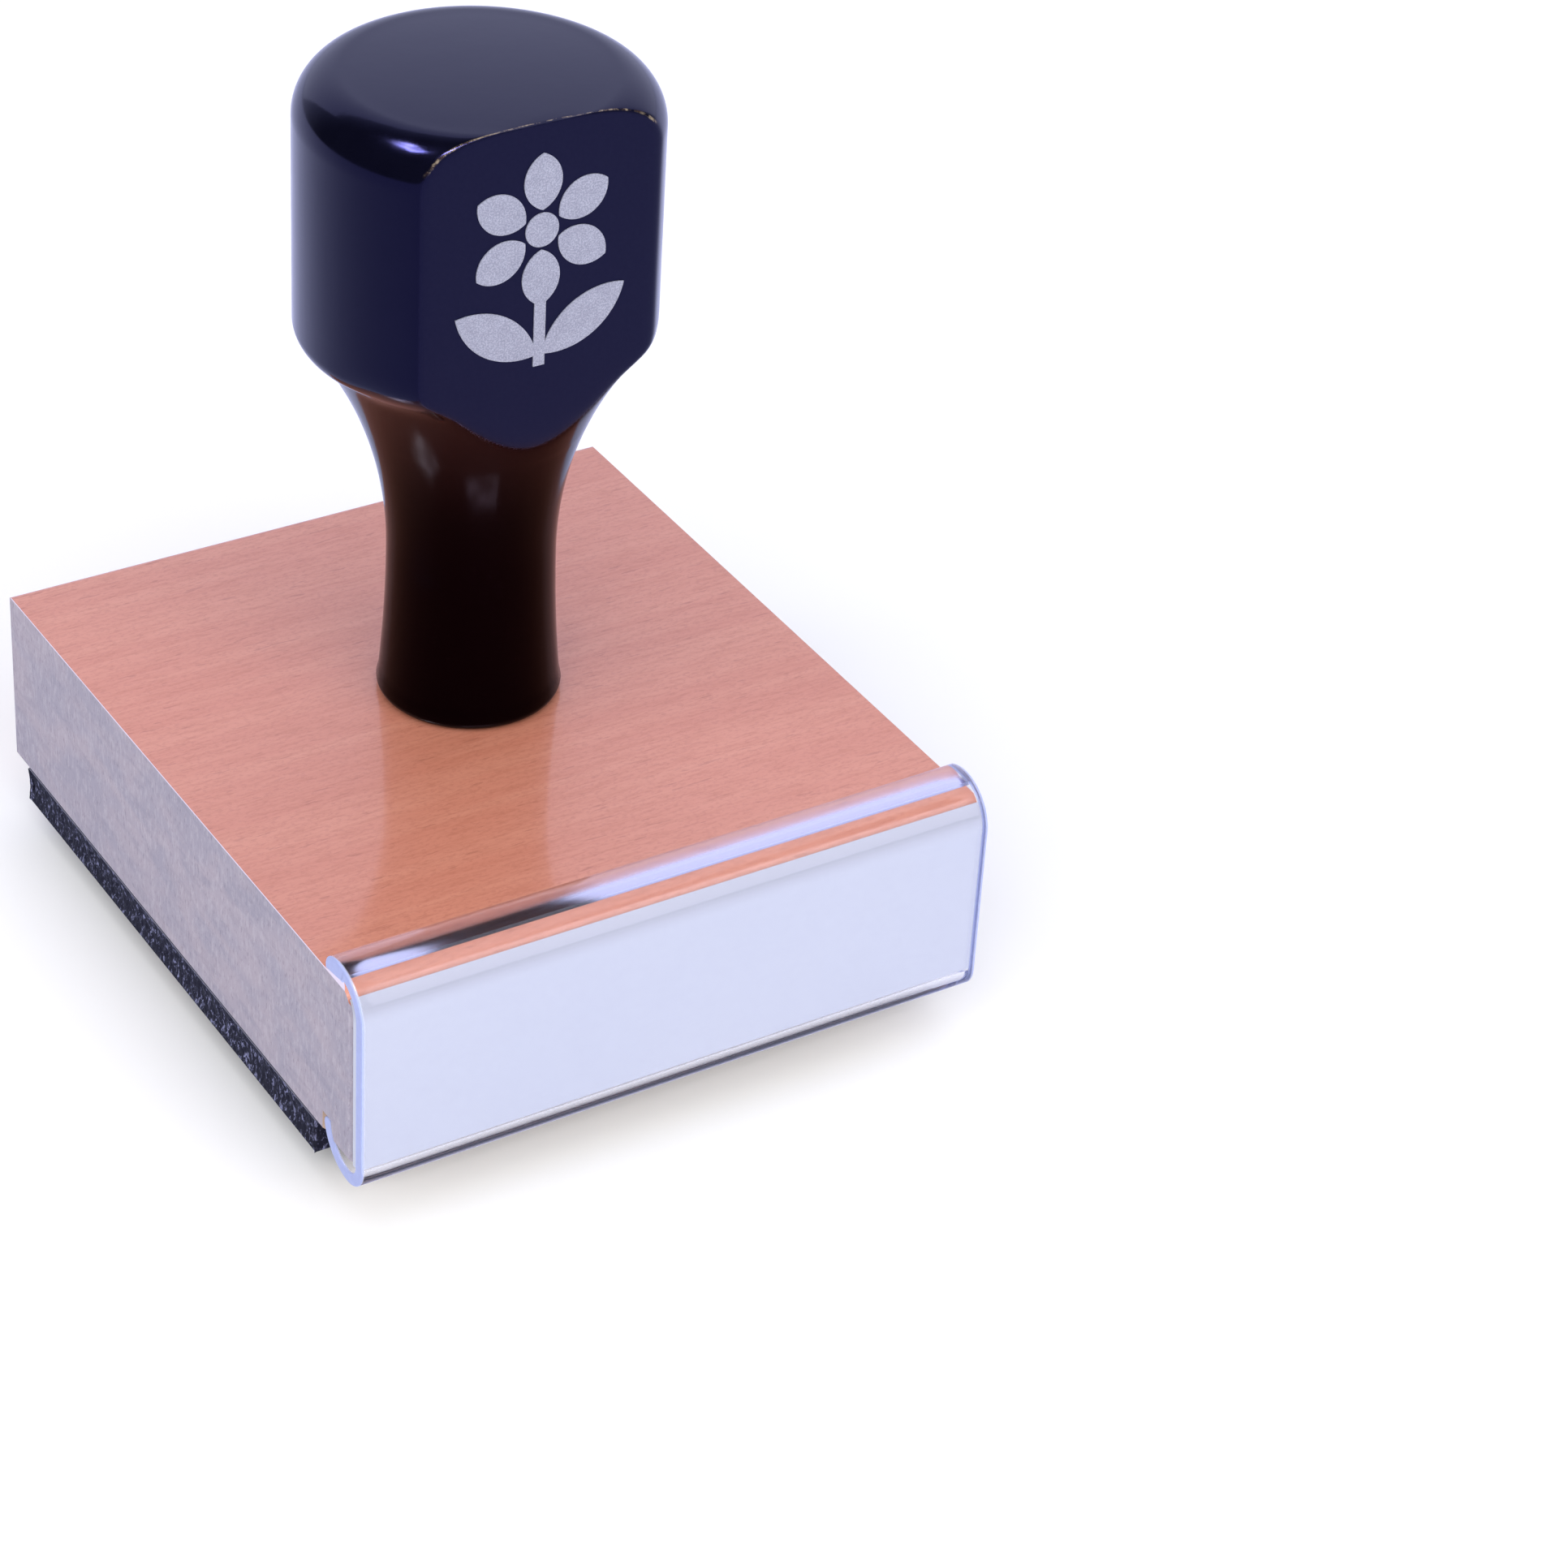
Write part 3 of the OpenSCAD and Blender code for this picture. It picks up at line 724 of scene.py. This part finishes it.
def build_floor():
    """A large pale floor, seen by the camera and by light that scatters, but not in the gloss."""
    mesh = rectangle("floor", FLOOR_REACH, FLOOR_REACH, FLOOR_Z)
    floor = bpy.data.objects.new("floor", mesh)
    bpy.context.scene.collection.objects.link(floor)
    n = Nodes("floor")
    colour = n.mix(n.noise(0.002, 2), (0.90, 0.90, 0.90), (0.92, 0.92, 0.92))
    n.set(base_color=colour, roughness=1.0, specular_ior_level=0.0)
    # From below it can't be seen, so that the underside shows
    side = n.tree.nodes.new("ShaderNodeNewGeometry")
    unseen = n.tree.nodes.new("ShaderNodeBsdfTransparent")
    pick = n.tree.nodes.new("ShaderNodeMixShader")
    n.link(side.outputs["Backfacing"], pick.inputs[0])
    n.link(n.shader.outputs[0], pick.inputs[1])
    n.link(unseen.outputs[0], pick.inputs[2])
    n.link(pick.outputs[0], n.out.inputs["Surface"])
    mesh.materials.append(n.material)
    floor.visible_glossy = False


def softbox(name, azimuth, elevation, width, height, radiance, tint=WHITE, distance=1.2,
            gloss=True, scatter=True, patches=0):
    """A glowing panel that faces the object, and that the camera doesn't see.

    Azimuth is from +X towards +Y, and both angles are in degrees. Light that the object scatters, or
    reflects in its gloss, can leave the panel out. With patches, it's a window seen through leaves.
    """
    a, e = math.radians(azimuth), math.radians(elevation)
    towards = Vector((math.cos(a) * math.cos(e), math.sin(a) * math.cos(e), math.sin(e)))
    mesh = rectangle(name, width / 2, height / 2, 0)
    panel = bpy.data.objects.new(name, mesh)
    turn = towards.to_track_quat("Z", "Y").to_matrix().to_4x4()
    panel.matrix_world = Matrix.Translation(LIT_POINT + towards * distance) @ turn
    material = bpy.data.materials.new(name)
    material.use_nodes = True
    tree = material.node_tree
    tree.nodes.clear()
    glow = tree.nodes.new("ShaderNodeEmission")
    glow.inputs["Color"].default_value = (*tint, 1)
    glow.inputs["Strength"].default_value = radiance
    out = tree.nodes.new("ShaderNodeOutputMaterial")
    tree.links.new(glow.outputs[0], out.inputs["Surface"])
    if patches:
        coords = tree.nodes.new("ShaderNodeTexCoord")
        blotches = tree.nodes.new("ShaderNodeTexNoise")
        blotches.inputs["Scale"].default_value = patches
        ramp = tree.nodes.new("ShaderNodeMapRange")
        for socket, value in zip(list(ramp.inputs)[1:5], (0.42, 0.56, 0.1 * radiance, radiance)):
            socket.default_value = value
        tree.links.new(coords.outputs["Object"], blotches.inputs["Vector"])
        tree.links.new(blotches.outputs["Fac"], ramp.inputs[0])
        tree.links.new(ramp.outputs[0], glow.inputs["Strength"])
    mesh.materials.append(material)
    bpy.context.scene.collection.objects.link(panel)
    panel.visible_camera = False
    panel.visible_shadow = False
    panel.visible_glossy = gloss
    panel.visible_diffuse = scatter
    panel.visible_transmission = scatter


def build_world():
    """Surroundings: pale behind and below the object, dim overhead and in front."""
    world = bpy.data.worlds.new("studio")
    world.use_nodes = True
    tree = world.node_tree
    tree.nodes.clear()
    coords = tree.nodes.new("ShaderNodeTexCoord")
    split = tree.nodes.new("ShaderNodeSeparateXYZ")
    tree.links.new(coords.outputs["Generated"], split.inputs[0])

    def dot(ax, ay):
        """How far the direction points along (ax, ay) on the level."""
        x = tree.nodes.new("ShaderNodeMath")
        x.operation = "MULTIPLY"
        x.inputs[1].default_value = ax
        tree.links.new(split.outputs[0], x.inputs[0])
        y = tree.nodes.new("ShaderNodeMath")
        y.operation = "MULTIPLY_ADD"
        y.inputs[1].default_value = ay
        tree.links.new(split.outputs[1], y.inputs[0])
        tree.links.new(x.outputs[0], y.inputs[2])
        return y.outputs[0]

    def ramp(value, start, end, low, high):
        node = tree.nodes.new("ShaderNodeMapRange")
        node.interpolation_type = "SMOOTHSTEP"
        for socket, number in zip(list(node.inputs)[1:5], (start, end, low, high)):
            socket.default_value = number
        tree.links.new(value, node.inputs[0])
        return node.outputs[0]

    behind = dot(math.cos(BRIGHT_AZIMUTH), math.sin(BRIGHT_AZIMUTH))
    below = ramp(behind, -0.4, 0.9, 0.9, 1.3)
    above = ramp(behind, 0.2, 0.95, 0.06, 0.9)
    side = ramp(split.outputs[2], -0.02, 0.02, 0.0, 1.0)
    pick = tree.nodes.new("ShaderNodeMix")
    for socket, value in zip((pick.inputs[0], pick.inputs[2], pick.inputs[3]), (side, below, above)):
        tree.links.new(value, socket)
    background = tree.nodes.new("ShaderNodeBackground")
    background.inputs["Color"].default_value = (*SKY_BLUE, 1)
    tree.links.new(pick.outputs[0], background.inputs["Strength"])
    out = tree.nodes.new("ShaderNodeOutputWorld")
    tree.links.new(background.outputs[0], out.inputs["Surface"])
    bpy.context.scene.world = world


build_floor()
build_world()
softbox("back_softbox", 56, 29, 2.6, 1.15, 1.15, tint=(0.72, 0.75, 1.05))
softbox("front_fill", -95, 35, 2.4, 1.6, 2.5, gloss=False, distance=1.5)
softbox("left_fill", 190, 35, 1.6, 1.2, 2.0, gloss=False, distance=1.3)
softbox("top_fill", 60, 85, 1.4, 1.4, 1.2, gloss=False)
softbox("left_window", 157, 66, 0.34, 0.17, 75, tint=WINDOW_BLUE, scatter=False, patches=9)
softbox("front_window", -102, 63, 0.46, 0.24, 75, tint=WINDOW_BLUE, scatter=False, patches=6)

# ---------------------------------------------------------------- camera

camera_data = bpy.data.cameras.new("camera")
camera_data.lens = CAMERA_LENS
camera_data.sensor_width = CAMERA_SENSOR
camera = bpy.data.objects.new("camera", camera_data)
camera.matrix_world = Matrix.Translation(CAMERA_AT) @ Euler(CAMERA_TURN).to_matrix().to_4x4()
bpy.context.scene.collection.objects.link(camera)
bpy.context.scene.camera = camera
bpy.context.scene.view_settings.view_transform = "Standard"
